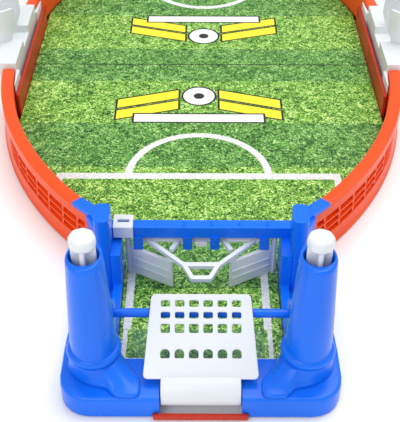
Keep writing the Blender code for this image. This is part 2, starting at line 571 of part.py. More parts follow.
def add_gate(prefix, parent):
    """The net gate: a sloping plate with square holes, a curved finger front and a hinge barrel."""
    half, t = PLATE_THICKNESS / 2, PLATE_THICKNESS
    slope = Vector((PLATE_HIGH_Y - PLATE_LOW_Y, PLATE_HIGH_Z - PLATE_LOW_Z))
    length = slope.length
    along = slope.normalized()
    xs = [-1.0]
    for column in range(6):
        middle = (column - 2.5) * HOLE_PITCH
        xs += [middle - HOLE_WIDTH / 2, middle + HOLE_WIDTH / 2]
    xs.append(1.0)
    stations = [0.0]
    for place_from_top, height in ((25.2, 3.8), (14.6, 3.8), (9.0, 2.8), (4.0, 2.8)):
        stations += [length - place_from_top - height / 2, length - place_from_top + height / 2]
    stations.append(length)
    mesh_data = bmesh.new()
    grid = []
    for s in stations:
        width = PLATE_LOW_HALF_WIDTH + (PLATE_HIGH_HALF_WIDTH - PLATE_LOW_HALF_WIDTH) * s / length
        row = []
        for i, x in enumerate(xs):
            if i in (0, len(xs) - 1):
                x *= width
            row.append(mesh_data.verts.new((x, PLATE_LOW_Y + along.x * s, PLATE_LOW_Z + along.y * s)))
        grid.append(row)
    for j in range(len(stations) - 1):
        for i in range(len(xs) - 1):
            if i % 2 == 1 and j % 2 == 1:
                continue
            mesh_data.faces.new((grid[j][i], grid[j][i + 1], grid[j + 1][i + 1], grid[j + 1][i]))
    skin = bmesh.ops.extrude_face_region(mesh_data, geom=mesh_data.faces[:])
    down = Vector((0, along.y, -along.x)) * t
    moved = [part for part in skin["geom"] if isinstance(part, bmesh.types.BMVert)]
    bmesh.ops.translate(mesh_data, vec=down, verts=moved)
    gate = place(prefix + "net_gate", mesh_data, WHITE_PLASTIC, parent, smooth=False)
    front = [(PLATE_LOW_Y + 3.2, PLATE_LOW_Z + 1.2), (PLATE_LOW_Y - 1.5, PLATE_LOW_Z - 0.2)]
    front += [(-270.3, 14.4), (-271.8, 12.0), (-272.4, 9.4), (-272.2, 7.2), (-271.4, 5.4)]
    front += [(-269.9, 5.6), (-270.5, 7.4), (-270.7, 9.4), (-270.2, 11.4), (-269.0, 13.2), (-267.0, 14.2)]
    front += [(PLATE_LOW_Y + 1.2, PLATE_LOW_Z - 1.6), (PLATE_LOW_Y + 3.0, PLATE_LOW_Z - 0.6)]
    w = GATE_HALF_WIDTH - 0.2
    joined = [prism(front, -w, w, "x")]
    joined.append(prism(circle(GATE_AXIS_Y, GATE_AXIS_Z, 2.8, 16), -w + 0.4, w - 0.4, "x"))
    for x in (-12.0, 0.0, 12.0):
        web = [(-270.6, 9.0), (-270.4, 11.0), (-266.0, 14.6)]
        web += [(GATE_AXIS_Y + 1.0, 14.6), (GATE_AXIS_Y + 1.0, 9.0)]
        joined.append(prism(web, x - 0.8, x + 0.8, "x"))
    tools = [place(prefix + f"gate_join_{i}", tool, WHITE_PLASTIC, parent) for i, tool in enumerate(joined)]
    combine(gate, tools, "UNION")
    bore = prism(circle(GATE_AXIS_Y, GATE_AXIS_Z, PIN_RADIUS + CLEARANCE, 12), -w - 5, w + 5, "x")
    return combine(gate, [place(prefix + "gate_bore", bore, WHITE_PLASTIC, parent)], "DIFFERENCE")


def add_clip(prefix, parent):
    """The score marker: a sleeve that slides along the crossbar, with a window in its top."""
    back = GOAL_Y - CROSSBAR_DEPTH
    outer_low = CROSSBAR_BOTTOM + 1.4
    x0, x1 = CLIP_X - CLIP_HALF_WIDTH, CLIP_X + CLIP_HALF_WIDTH
    wall = CLIP_WALL + CLEARANCE
    body = box(x0, x1, back - wall, GOAL_Y + wall, outer_low, CROSSBAR_TOP + wall)
    clip = place(prefix + "score_clip", body, WHITE_PLASTIC, parent)
    room_top = CROSSBAR_TOP + CLEARANCE
    room = box(x0 - 2, x1 + 2, back - CLEARANCE, GOAL_Y + CLEARANCE, outer_low - 2, room_top)
    window = box(CLIP_X - 2.7, CLIP_X + 2.7, GOAL_Y - 3.4, GOAL_Y - 1.6, CROSSBAR_TOP - 2, CROSSBAR_TOP + 5)
    cuts = [(room, "clip_room"), (window, "clip_window")]
    cuts = [place(prefix + tool, shape, WHITE_PLASTIC, parent) for shape, tool in cuts]
    return combine(clip, cuts, "DIFFERENCE")


def add_rods(prefix, parent):
    reach = GOAL_HALF_WIDTH + GOAL_WALL - 0.6
    rod = prism(circle(CROSS_ROD_Y, CROSS_ROD_Z, CROSS_ROD_RADIUS, 14), -reach, reach, "x")
    place(prefix + "cross_rod", rod, BLUE_PLASTIC, parent)
    pin = prism(circle(GATE_AXIS_Y, GATE_AXIS_Z, PIN_RADIUS, 12), -25.4, 25.4, "x")
    place(prefix + "gate_hinge_pin", pin, SPRING_STEEL, parent)


def add_feet(prefix, parent):
    for name, side in (("left_", -1), ("right_", 1)):
        foot = turned(side * 72.0, -110.0, [(FOOT_RADIUS, 0.0), (FOOT_RADIUS, TRAY_BOTTOM - CLEARANCE)], 16)
        place(prefix + name + "foot", foot, FOOT_RUBBER, parent)


def build_end(prefix, turn):
    end = bpy.data.objects.new(prefix + "end", None)
    bpy.context.scene.collection.objects.link(end)
    end.rotation_euler[2] = turn
    add_tray(prefix, end)
    add_field(prefix, end)
    add_base(prefix, end)
    add_goal(prefix, end)
    add_rods(prefix, end)
    add_guard(prefix, end)
    add_gate(prefix, end)
    add_clip(prefix, end)
    add_feet(prefix, end)
    for name, side in (("left_", -1), ("right_", 1)):
        add_rail(prefix + name + "rail", side, end)
        add_leg(prefix + name, side, end)
        add_button(prefix + name, side, end)
        add_spring(prefix + name, side, end)
        add_slider(prefix + name, side, end)
        add_flipper(prefix + name, side, end)


for old in list(bpy.data.objects):
    bpy.data.objects.remove(old)

BLUE_PLASTIC = plastic("blue_plastic", BLUE, 0.35)
RED_PLASTIC = plastic("red_plastic", RED, 0.35)
WHITE_PLASTIC = plastic("white_plastic", WHITE, 0.4)
GRASS_PRINT = plastic("grass_print", GREEN, 0.6)
SPRING_STEEL = plastic("spring_steel", STEEL, 0.3, 1.0)
FOOT_RUBBER = plastic("foot_rubber", RUBBER, 0.9)

build_end("near_", 0.0)
build_end("far_", math.pi)
add_bridge("left_side_bridge", -1)
add_bridge("right_side_bridge", 1)
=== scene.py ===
"""Looks of a two-player table football game with push buttons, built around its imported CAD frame."""

import json
import math

import bmesh
import bpy
import numpy as np
from mathutils import Matrix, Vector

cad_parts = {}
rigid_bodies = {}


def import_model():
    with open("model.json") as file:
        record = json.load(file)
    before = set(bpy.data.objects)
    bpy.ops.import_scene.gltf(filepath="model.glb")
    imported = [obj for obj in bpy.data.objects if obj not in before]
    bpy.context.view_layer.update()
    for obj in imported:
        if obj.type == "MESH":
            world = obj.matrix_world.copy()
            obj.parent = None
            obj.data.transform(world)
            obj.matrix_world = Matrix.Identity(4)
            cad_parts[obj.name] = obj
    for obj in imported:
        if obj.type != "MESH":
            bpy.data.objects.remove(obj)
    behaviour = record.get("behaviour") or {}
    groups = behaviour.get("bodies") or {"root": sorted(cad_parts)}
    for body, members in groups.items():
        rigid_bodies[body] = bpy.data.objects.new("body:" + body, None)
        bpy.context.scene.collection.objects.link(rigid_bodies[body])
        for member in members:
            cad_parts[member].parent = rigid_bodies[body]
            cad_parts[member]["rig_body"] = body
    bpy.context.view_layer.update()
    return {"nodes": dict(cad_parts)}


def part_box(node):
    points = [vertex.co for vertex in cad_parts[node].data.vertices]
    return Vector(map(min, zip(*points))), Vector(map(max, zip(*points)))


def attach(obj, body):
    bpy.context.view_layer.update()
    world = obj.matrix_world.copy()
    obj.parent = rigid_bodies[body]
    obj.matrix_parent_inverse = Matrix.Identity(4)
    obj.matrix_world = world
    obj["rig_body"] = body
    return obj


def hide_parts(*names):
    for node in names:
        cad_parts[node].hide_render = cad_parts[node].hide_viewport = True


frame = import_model()

# --- Table, light and camera -------------------------------------------------------------
# The game stands on a plain pale table under a broad soft studio light, and is seen from one
# player's end, down along the board.
FIELD_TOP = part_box("near_field_board")[1].z
CAMERA_HEIGHT = 0.295
CAMERA_BACK = 0.498
CAMERA_LEFT = 0.0006
CAMERA_DIP = 40.2
CAMERA_ROLL = 0.2
CAMERA_SENSOR = 36.0
CAMERA_FOCAL_LENGTH = 74.218

camera_data = bpy.data.cameras.new("player_view")
camera_data.sensor_width = CAMERA_SENSOR
camera_data.lens = CAMERA_FOCAL_LENGTH
camera_data.clip_start = 0.01
camera = bpy.data.objects.new("player_view", camera_data)
camera.location = (-CAMERA_LEFT, -CAMERA_BACK, FIELD_TOP + CAMERA_HEIGHT)
tilt = Matrix.Rotation(math.radians(90.0 - CAMERA_DIP), 3, "X")
camera.rotation_euler = (tilt @ Matrix.Rotation(math.radians(CAMERA_ROLL), 3, "Z")).to_euler()
bpy.context.scene.collection.objects.link(camera)
bpy.context.scene.camera = camera
bpy.context.scene.view_settings.view_transform = "Standard"


def soft_lamp(name, place, target, size, power):
    """A square area lamp turned from its place towards a target point."""
    lamp_data = bpy.data.lights.new(name, "AREA")
    lamp_data.size = size
    lamp_data.energy = power
    lamp = bpy.data.objects.new(name, lamp_data)
    lamp.location = place
    east, north, up = np.array(target) - np.array(place)
    lamp.rotation_euler = (math.atan2(math.hypot(east, north), -up), 0, math.atan2(-east, north))
    bpy.context.scene.collection.objects.link(lamp)


soft_lamp("overhead_lamp", (0.25, 0.1, 1.1), (0, 0, 0), 0.9, 8.0)
soft_lamp("front_lamp", (-0.5, -1.0, 0.8), (0, -0.1, 0), 0.7, 4.0)
studio = bpy.data.worlds.new("studio")
studio.use_nodes = True
sky = studio.node_tree.nodes["Background"]
sky.inputs["Color"].default_value = (1, 1, 1, 1)
sky.inputs["Strength"].default_value = 0.68
bpy.context.scene.world = studio

table_material = bpy.data.materials.new("pale_table")
table_material.use_nodes = True
table_shader = table_material.node_tree.nodes["Principled BSDF"]
table_shader.inputs["Base Color"].default_value = (0.98, 0.98, 0.98, 1)
table_shader.inputs["Roughness"].default_value = 0.9
TABLE_REACH, TABLE_DROP = 6.0, 0.0002
table_mesh = bpy.data.meshes.new("table_top")
table_corners = np.array([(-1, -1), (1, -1), (1, 1), (-1, 1)]) * TABLE_REACH
table_mesh.from_pydata([(x, y, -TABLE_DROP) for x, y in table_corners], [], [(0, 1, 2, 3)])
table_mesh.materials.append(table_material)
table_top = bpy.data.objects.new("table_top", table_mesh)
bpy.context.scene.collection.objects.link(table_top)

# --- Printed pitch with painted goal shade -------------------------------------------------
# Each half of the board is a thin sheet printed with mown grass, white pitch lines, a net behind the goal
# and a plain chevron badge, with a painted shade under the goal's back; the CAD boards stay and take the
# print.
M_TO_MM = 1000.0
SHEET_SHIFT = -1.5
GRASS_LIGHT = ((0.40, (0.012, 0.06, 0.004)), (0.47, (0.09, 0.30, 0.020)), (0.54, (0.27, 0.58, 0.05)),
               (0.62, (0.78, 0.98, 0.36)))
GRASS_DARK = ((0.40, (0.006, 0.04, 0.008)), (0.49, (0.035, 0.19, 0.030)), (0.56, (0.13, 0.40, 0.07)),
              (0.65, (0.45, 0.70, 0.28)))
MOWN_BANDS = ((-5, 20.5), (67.5, 111), (172, 206))
CHALK = ((0.35, (0.62, 0.64, 0.62)), (0.6, (0.86, 0.87, 0.86)))
NET_CELLS, NET_AND_SHADE_START, NET_AND_SHADE_END, NET_AND_SHADE_HALF = 230.0, 232, 249, 30
PENALTY_SPOT, ARC_INNER, ARC_OUTER, ARC_START = 119.0, 36.7, 41.0, 20
AREA_FRONT, AREA_LINE, AREA_SIDE_END = 116.4, 121.8, 150
AREA_INNER, AREA_OUTER = 74.4, 78.4
# The goal's lines, as ranges along and across: its sides, their thinner ends and its back.
GOAL_LINES = (((186, 232), (30.0, 33.8)), ((232, 251), (31.4, 33.6)), ((248.6, 250.8), (-1, 33.6)))
INK, YELLOW, CARD_WHITE = (0.012, 0.012, 0.010), (0.95, 0.80, 0.03), (0.88, 0.88, 0.86)
BALL_WHITE, BALL_SPOT, SEAM_TONE = (0.90, 0.90, 0.88), (0.02, 0.02, 0.02), (0.02, 0.03, 0.01)
CHEVRON_MIDDLES, CHEVRON_HALF, CHEVRON_SLOPE = (32.0, 44.0), 4.6, -0.30
CHEVRON_START, CHEVRON_REACH, OUTLINE = 12.7, 50.0, 1.2
BALL_PLACE, BALL_RADIUS, BALL_SPOT_RADIUS = 38.0, 9.8, 3.4
BAR_START, BAR_END, BAR_HALF = 58.2, 66.4, 39.0


def maths(tree, operation, first, second=None, third=None):
    """One Math node on sockets or plain numbers; gives its output socket."""
    node = tree.nodes.new("ShaderNodeMath")
    node.operation = operation
    for socket, value in zip(node.inputs, (first, second, third)):
        if isinstance(value, (int, float)):
            socket.default_value = value
        elif value is not None:
            tree.links.new(value, socket)
    return node.outputs[0]


def between(tree, value, low, high):
    """1 where value lies between low and high, falling to 0 at them over a sixth of a unit."""
    above = maths(tree, "MULTIPLY", maths(tree, "SUBTRACT", value, low), 6.0)
    below = maths(tree, "MULTIPLY", maths(tree, "SUBTRACT", high, value), 6.0)
    edge = maths(tree, "MINIMUM", above, below)
    return maths(tree, "MINIMUM", maths(tree, "MAXIMUM", edge, 0.0), 1.0)


def both(tree, first, second):
    """The product of two masks: 1 only where both are 1."""
    return maths(tree, "MULTIPLY", first, second)


def inside(tree, along, across, ends, sides):
    """1 in a rectangle, given by the two ends of its range along the pitch and of its range across."""
    return both(tree, between(tree, along, *ends), between(tree, across, *sides))


def distance(tree, first, second):
    """The square root of the sum of two squares."""
    squares = [maths(tree, "POWER", maths(tree, "ABSOLUTE", value), 2.0) for value in (first, second)]
    return maths(tree, "SQRT", maths(tree, "ADD", *squares))


def either(tree, *masks):
    """The largest of the masks: 1 where any of them is 1."""
    result = masks[0]
    for mask in masks[1:]:
        result = maths(tree, "MAXIMUM", result, mask)
    return result


def blend_colour(tree, mask, first, second):
    """first where mask is 0 and second where it is 1; each is a colour or a socket."""
    node = tree.nodes.new("ShaderNodeMix")
    node.data_type = "RGBA"
    if isinstance(mask, (int, float)):
        node.inputs[0].default_value = mask
    else:
        tree.links.new(mask, node.inputs[0])
    for socket, value in ((node.inputs[6], first), (node.inputs[7], second)):
        if isinstance(value, tuple):
            socket.default_value = (*value, 1.0)
        else:
            tree.links.new(value, socket)
    return node.outputs[2]


def noise(tree, vector, scale, detail=2.0, distortion=0.0):
    """Cloudy noise over a vector, with so many swirls a metre; gives its value socket."""
    node = tree.nodes.new("ShaderNodeTexNoise")
    node.inputs["Scale"].default_value = scale
    node.inputs["Detail"].default_value = detail
    node.inputs["Distortion"].default_value = distortion
    tree.links.new(vector, node.inputs["Vector"])
    return node.outputs["Fac"]


def ramp(tree, value, *stops):
    """A colour ramp; stops are (position, colour)."""
    node = tree.nodes.new("ShaderNodeValToRGB")
    elements = node.color_ramp.elements
    for element, (position, colour) in zip(elements, (stops[0], stops[-1])):
        element.position = position
        element.color = (*colour, 1.0)
    for position, colour in stops[1:-1]:
        elements.new(position).color = (*colour, 1.0)
    tree.links.new(value, node.inputs["Fac"])
    return node.outputs["Color"]


def bumped(tree, shader, height, strength, depth):
    """Tilts a shader's normal by a height pattern."""
    bump = tree.nodes.new("ShaderNodeBump")
    bump.inputs["Strength"].default_value = strength
    bump.inputs["Distance"].default_value = depth
    tree.links.new(height, bump.inputs["Height"])
    tree.links.new(bump.outputs["Normal"], shader.inputs["Normal"])


def pitch_print():
    """The board's print and its painted shade: each mark is a range of millimetres along the pitch and
    across it.

    Both distances are taken from the board's middle without their sign, so all four quarters match.
    """
    material = bpy.data.materials.new("pitch_print")
    material.use_nodes = True
    tree = material.node_tree
    shader = tree.nodes["Principled BSDF"]
    coordinates = tree.nodes.new("ShaderNodeTexCoord").outputs["Object"]
    split = tree.nodes.new("ShaderNodeSeparateXYZ")
    tree.links.new(coordinates, split.inputs[0])
    sheet_shift = maths(tree, "MULTIPLY", maths(tree, "SIGN", split.outputs["Y"]), SHEET_SHIFT)
    across = maths(tree, "ABSOLUTE", maths(tree, "MULTIPLY_ADD", split.outputs["X"], M_TO_MM, sheet_shift))
    along = maths(tree, "ABSOLUTE", maths(tree, "MULTIPLY", split.outputs["Y"], M_TO_MM))

    blades = noise(tree, coordinates, 620.0, 3.0, 1.6)
    tufts = noise(tree, coordinates, 170.0, 2.0, 0.6)
    patches = noise(tree, coordinates, 30.0, 2.0)
    mixed = maths(tree, "ADD", maths(tree, "MULTIPLY", blades, 0.8), maths(tree, "MULTIPLY", tufts, 0.2))
    light, dark = ramp(tree, mixed, *GRASS_LIGHT), ramp(tree, mixed, *GRASS_DARK)
    mown = either(tree, *[between(tree, along, *band) for band in MOWN_BANDS])
    grass = blend_colour(tree, maths(tree, "MULTIPLY", mown, 0.72), light, dark)
    grass = blend_colour(tree, maths(tree, "MULTIPLY", patches, 0.25), grass, dark)

    # The goal's back, behind the blue rod, is darkened by a painted shade, the goal's shadow; a honeycomb
    # net is printed over it.
    cells = tree.nodes.new("ShaderNodeTexVoronoi")
    cells.feature = "DISTANCE_TO_EDGE"
    cells.inputs["Scale"].default_value = NET_CELLS
    cells.inputs["Randomness"].default_value = 0.25
    tree.links.new(coordinates, cells.inputs["Vector"])
    strand = between(tree, cells.outputs["Distance"], -1.0, 0.05)
    net_and_shade_area = inside(tree, along, across, (NET_AND_SHADE_START, NET_AND_SHADE_END), (-1, NET_AND_SHADE_HALF))
    # Painted shade: the goal's back is blended 45% towards a dark cool green, standing in for the goal's
    # shadow on the grass.
    painted_goal_shade = blend_colour(tree, 0.45, grass, (0.06, 0.22, 0.12))
    grass = blend_colour(tree, net_and_shade_area, grass, painted_goal_shade)
    net = both(tree, net_and_shade_area, maths(tree, "MULTIPLY", strand, 0.45))
    grass = blend_colour(tree, net, grass, (0.55, 0.75, 0.62))

    # The chalk lines: the arc, the area's front and sides, and the goal's sides and back.
    from_spot = distance(tree, across, maths(tree, "SUBTRACT", along, PENALTY_SPOT))
    chalk = either(
        tree,
        inside(tree, along, from_spot, (ARC_START, PENALTY_SPOT), (ARC_INNER, ARC_OUTER)),
        inside(tree, along, across, (AREA_FRONT, AREA_LINE), (-1, AREA_OUTER)),
        inside(tree, along, across, (AREA_FRONT, AREA_SIDE_END), (AREA_INNER, AREA_OUTER)),
        *[inside(tree, along, across, *line) for line in GOAL_LINES],
    )
    badge = blend_colour(tree, chalk, grass, ramp(tree, blades, *CHALK))

    # A plain badge: two bold chevrons over a ball and a bar, yellow and white with a black edge.
    bend = maths(tree, "ADD", along, maths(tree, "MULTIPLY", across, CHEVRON_SLOPE))
    for middle in CHEVRON_MIDDLES:
        for colour, extra in ((INK, OUTLINE), (YELLOW, 0.0)):
            ends = (middle - CHEVRON_HALF - extra, middle + CHEVRON_HALF + extra)
            sides = (CHEVRON_START - extra, CHEVRON_REACH + extra)
            badge = blend_colour(tree, inside(tree, bend, across, ends, sides), badge, colour)
    from_ball = distance(tree, across, maths(tree, "SUBTRACT", along, BALL_PLACE))
    rings = ((INK, BALL_RADIUS + OUTLINE), (BALL_WHITE, BALL_RADIUS), (BALL_SPOT, BALL_SPOT_RADIUS))
    for colour, radius in rings:
        badge = blend_colour(tree, between(tree, from_ball, -1, radius), badge, colour)
    for colour, extra in ((INK, OUTLINE), (CARD_WHITE, 0.0)):
        bar = inside(tree, along, across, (BAR_START - extra, BAR_END + extra), (-1, BAR_HALF + extra))
        badge = blend_colour(tree, bar, badge, colour)
    seam = blend_colour(tree, between(tree, along, -1, 0.5), badge, SEAM_TONE)
    tree.links.new(seam, shader.inputs["Base Color"])
    shader.inputs["Roughness"].default_value = 0.42
    shader.inputs["Specular IOR Level"].default_value = 0.35
    bumped(tree, shader, noise(tree, coordinates, 900.0), 0.06, 0.0002)
    return material


def finished(node, material):
    """Gives a CAD node that stays as it is one material all over."""
    surface = frame["nodes"][node].data
    surface.materials.clear()
    surface.materials.append(material)


PITCH = pitch_print()
for half in ("near_field_board", "far_field_board"):
    finished(half, PITCH)


# --- Moulded plastics ------------------------------------------------------------------------
# The shells are injection-moulded in blue, white and two reds. Each has a faint orange-peel skin,
# a slow drift in tone and a gloss that varies with handling.
def moulded_plastic(name, colour, darker, roughness, peel=0.10, translucent=0.0, shine=0.5):
    """Plastic whose colour drifts between two tones, with a fine peel and an uneven gloss."""
    material = bpy.data.materials.new(name)
    material.use_nodes = True
    tree = material.node_tree
    shader = tree.nodes["Principled BSDF"]
    shader.inputs["Specular IOR Level"].default_value = shine
    coordinates = tree.nodes.new("ShaderNodeTexCoord").outputs["Object"]
    drift = noise(tree, coordinates, 18.0, 3.0)
    tree.links.new(ramp(tree, drift, (0.3, darker), (0.7, colour)), shader.inputs["Base Color"])
    handled = noise(tree, coordinates, 60.0, 4.0)
    gloss = maths(tree, "MULTIPLY_ADD", handled, 0.12, roughness - 0.06)
    tree.links.new(gloss, shader.inputs["Roughness"])
    bumped(tree, shader, noise(tree, coordinates, 900.0), peel, 0.0003)
    if translucent:
        shader.inputs["Subsurface Weight"].default_value = translucent
        shader.inputs["Subsurface Radius"].default_value = (0.003, 0.003, 0.003)
        shader.inputs["Subsurface Scale"].default_value = 1.0
    return material


BLUE = moulded_plastic("royal_blue_plastic", (0.004, 0.165, 0.90), (0.003, 0.140, 0.80), 0.26, shine=0.3)
RED = moulded_plastic("orange_red_plastic", (0.90, 0.085, 0.006), (0.84, 0.072, 0.005), 0.34, shine=0.3)
DEEP_RED = moulded_plastic("red_wall_plastic", (0.55, 0.028, 0.006), (0.48, 0.022, 0.005), 0.40, shine=0.3)
WHITE = moulded_plastic("milky_white_plastic", (0.76, 0.79, 0.81), (0.72, 0.75, 0.78), 0.34, 0.08, 0.10)


def softened(node, material, edge, segments=2, brow=None):
    """A copy of a CAD piece with its seams merged, its flat faces joined and its edges rounded.

    brow, where it is given, is a test of an edge's two ends and a width: those edges get a wider round.
    """
    data = frame["nodes"][node].data
    shape = bmesh.new()
    shape.from_mesh(data)
    bmesh.ops.remove_doubles(shape, verts=shape.verts, dist=2e-6)
    bmesh.ops.dissolve_limit(shape, angle_limit=math.radians(1.0), verts=shape.verts, edges=shape.edges)
    if brow:
        test, width = brow
        chosen = [line for line in shape.edges if all(test(point.co) for point in line.verts)]
        bmesh.ops.bevel(shape, geom=chosen, offset=width, segments=6, profile=0.5, affect="EDGES",
                        clamp_overlap=True)
    mesh = bpy.data.meshes.new("moulded_" + node)
    shape.to_mesh(mesh)
    shape.free()
    mesh.materials.append(material)
    mesh.shade_smooth()
    mesh.set_sharp_from_angle(angle=math.radians(40))
    piece = bpy.data.objects.new("moulded_" + node, mesh)
    bpy.context.scene.collection.objects.link(piece)
    if edge:
        rounding = piece.modifiers.new("rounded_edges", "BEVEL")
        rounding.width = edge
        rounding.segments = segments
        rounding.limit_method = "ANGLE"
        rounding.angle_limit = math.radians(35)
        rounding.harden_normals = True
    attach(piece, frame["nodes"][node]["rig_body"])
    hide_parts(node)
    return piece


def put(name, points, faces, material, body, replaced=(), sharp=40):
    """Makes a finished piece from worked-out points, turns its faces outwards and hangs it on a body."""
    mesh = bpy.data.meshes.new(name)
    mesh.from_pydata(np.asarray(points, float).reshape(-1, 3).tolist(), [], faces)
    shape = bmesh.new()
    shape.from_mesh(mesh)
    bmesh.ops.remove_doubles(shape, verts=shape.verts, dist=1e-6)
    bmesh.ops.recalc_face_normals(shape, faces=shape.faces)
    shape.to_mesh(mesh)
    shape.free()
    mesh.materials.append(material)
    mesh.shade_smooth()
    mesh.set_sharp_from_angle(angle=math.radians(sharp))
    piece = bpy.data.objects.new(name, mesh)
    bpy.context.scene.collection.objects.link(piece)
    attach(piece, body)
    if replaced:
        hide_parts(*replaced)
    return piece


def grid_faces(rows, columns, start=0, closed_rows=False, capped=True):
    """Quads over a rows x columns grid whose columns close into a ring, with flat caps at both ends."""
    r, c = np.meshgrid(np.arange(rows if closed_rows else rows - 1), np.arange(columns), indexing="ij")
    up, over = (r + 1) % rows, (c + 1) % columns
    corners = [r * columns + c, r * columns + over, up * columns + over, up * columns + c]
    faces = (np.stack(corners, -1).reshape(-1, 4) + start).tolist()
    if capped and not closed_rows:
        faces.append((np.arange(columns) + start).tolist())
        faces.append((np.arange(columns) + start + (rows - 1) * columns).tolist())
    return faces


ENDS = (("near", 1), ("far", -1))
SIDES = (("left", -1), ("right", 1))


def turned_end(points, turn):
    """Near-end points in millimetres, as metres; the far end's are turned half a turn about the middle."""
    return np.asarray(points) * np.array([turn, turn, 1.0]) / M_TO_MM


def joined(parts):
    """The points and the faces of several grids, given as (grid, closed_rows), as one mesh."""
    points, faces, count = [], [], 0
    for grid, closed_rows in parts:
        faces += grid_faces(grid.shape[0], grid.shape[1], count, closed_rows)
        points.append(grid.reshape(-1, 3))
        count += grid.shape[0] * grid.shape[1]
    return np.concatenate(points), faces


# --- Trays ----------------------------------------------------------------------------------
# The deep red floor tray under each half is one moulding with its straight inner walls and the
# sill at the front. Small black rubber feet are stuck under each end.
RUBBER = moulded_plastic("foot_rubber", (0.03, 0.03, 0.032), (0.02, 0.02, 0.022), 0.8)
for end, _ in ENDS:
    softened(end + "_tray", DEEP_RED, 0.0004, 2)
    for side_name, _ in SIDES:
        finished(f"{end}_{side_name}_foot", RUBBER)

# --- Side rails ------------------------------------------------------------------------------
# Each rail is a hollow red moulding on an arc: a flat top flange, a draughted outer wall with
# stepped bands and upright ribs, and a lip along the table.
RAIL_CENTRE, RAIL_CENTRE_Y = 85.9, -25.1
RAIL_START, RAIL_END = 40.0, 177.0
RAIL_FOOT_RADIUS = 208.3
LATTICE_DEPTH = 2.5
LATTICE_LOWS = (9.8, 14.6, 19.4)
LATTICE_FIRST, LATTICE_FADE_IN, LATTICE_LAST, LATTICE_FADE_OUT = 0.36, 0.06, 0.805, 0.01
RAIL_STEPS = 97
RIB_ANGLES = (0.45, 0.515, 0.58, 0.645, 0.71, 0.77)
RIB_HALF_ANGLE, RIB_LEAN = 0.0035, 0.008
RIB_HEIGHTS, RIB_RADII = (9.9, 23.2), (204.4, 206.9)
RIB_FACES = np.array([(0, 1, 3, 2), (4, 6, 7, 5), (0, 4, 5, 1), (2, 3, 7, 6), (0, 2, 6, 4), (1, 5, 7, 3)])


def rail_profile():
    """The rail's section, up the outer wall, over the flange and down inside, as radius and height.

    The third value is 1 where the point sinks into a band of the lattice.
    """
    outline = [(203.9, 0.7, 0), (208.2, 0.7, 0), (208.2, 1.7, 0), (207.7, 2.3, 0), (207.35, 3.4, 0)]
    for low in LATTICE_LOWS:
        outline += [(207.2, low, 0), (207.15, low + 0.35, 1)]
        outline += [(207.15, low + 3.5, 1), (207.1, low + 3.85, 0)]
    outline += [(207.0, 25.6, 0), (207.0, 28.3, 0), (206.7, 28.8, 0), (206.1, 29.0, 0)]
    outline += [(200.8, 29.0, 0), (200.2, 28.8, 0), (200.0, 28.3, 0), (200.0, 9.4, 0), (201.6, 9.4, 0)]
    return np.array(outline + [(201.6, 26.8, 0), (203.6, 26.8, 0)])


def on_arc(side, radius, angle, height):
    """A place at a radius, an angle from the middle line and a height, about the rail's centre."""
    x = side * (radius * np.cos(angle) - RAIL_CENTRE)
    y = RAIL_CENTRE_Y - radius * np.sin(angle)
    return np.stack([x, y, height], -1)


def rail_points(side, angles):
    """The section carried round the arc: the radius turns about the rail's centre by each angle.

    The bands' radius shrinks by the lattice's depth between two angles, easing in and out.
    """
    radius, height, recess = rail_profile().T
    a = angles[:, None]
    eased_in = np.clip((a - LATTICE_FIRST) / LATTICE_FADE_IN, 0.0, 1.0)
    eased_out = np.clip((LATTICE_LAST - a) / LATTICE_FADE_OUT, 0.0, 1.0)
    r = radius[None] - LATTICE_DEPTH * recess[None] * eased_in * eased_out
    return on_arc(side, r, a, np.broadcast_to(height, r.shape))


def rib_points(side, angle):
    """One upright rib: the eight corners of a thin block across the three bands, leaning a little."""
    edges = (-RIB_HALF_ANGLE, RIB_HALF_ANGLE)
    heights, radii, edges = np.meshgrid(RIB_HEIGHTS, RIB_RADII, edges, indexing="ij")
    lean = np.where(heights > RIB_HEIGHTS[0], RIB_LEAN, 0.0)
    return on_arc(side, radii, angle + lean + edges, heights).reshape(-1, 3)


for end, turn in ENDS:
    for side_name, side in SIDES:
        first, last = [math.asin((y + RAIL_CENTRE_Y) / RAIL_FOOT_RADIUS) for y in (RAIL_START, RAIL_END)]
        points, faces = joined([(rail_points(side, np.linspace(first, last, RAIL_STEPS)), False)])
        put(f"{end}_{side_name}_curved_rail", turned_end(points, turn), faces, RED, "game_body",
            (f"{end}_{side_name}_rail",), 30)
        ribs = np.stack([rib_points(side, angle) for angle in RIB_ANGLES])
        faces = (RIB_FACES + 8 * np.arange(len(RIB_ANGLES))[:, None, None]).reshape(-1, 4).tolist()
        put(f"{end}_{side_name}_rail_ribs", turned_end(ribs, turn), faces, RED, "game_body")

# --- Side bridges ----------------------------------------------------------------------------
# White mouldings that clip over the joint of two rails and hold them together; each carries a
# ball cup with a chute down to the board.
for side_name, _ in SIDES:
    softened(side_name + "_side_bridge", WHITE, 0.0008, 3)

# --- End housings and goal frames ------------------------------------------------------------
# The blue base that closes each end, and the blue crossbar moulding that stands on it with its
# posts, rod lugs and hooks. The base's outer top edge has the widest round.
BASE_HALF, BASE_END, BASE_CORNER, BASE_TOP = 0.060, 0.2736, 0.013, 0.012
BROW_ROUND, NEARLY = 0.0036, 0.0001


def on_base_brow(place):
    """True for a point of the base's top edge on its outer side, round the corner or along the front."""
    x, y = abs(place.x), abs(place.y)
    corner = math.hypot(x - BASE_HALF + BASE_CORNER, y - BASE_END + BASE_CORNER)
    in_corner = x > BASE_HALF - BASE_CORNER and y > BASE_END - BASE_CORNER and corner > BASE_CORNER - NEARLY
    outside = x > BASE_HALF - 2 * NEARLY or y > BASE_END - NEARLY or in_corner
    return outside and place.z > BASE_TOP - NEARLY


for end, _ in ENDS:
    softened(end + "_base_cover", BLUE, 0.0007, 3, (on_base_brow, BROW_ROUND))
    softened(end + "_goal_frame", BLUE, 0.0007, 3)

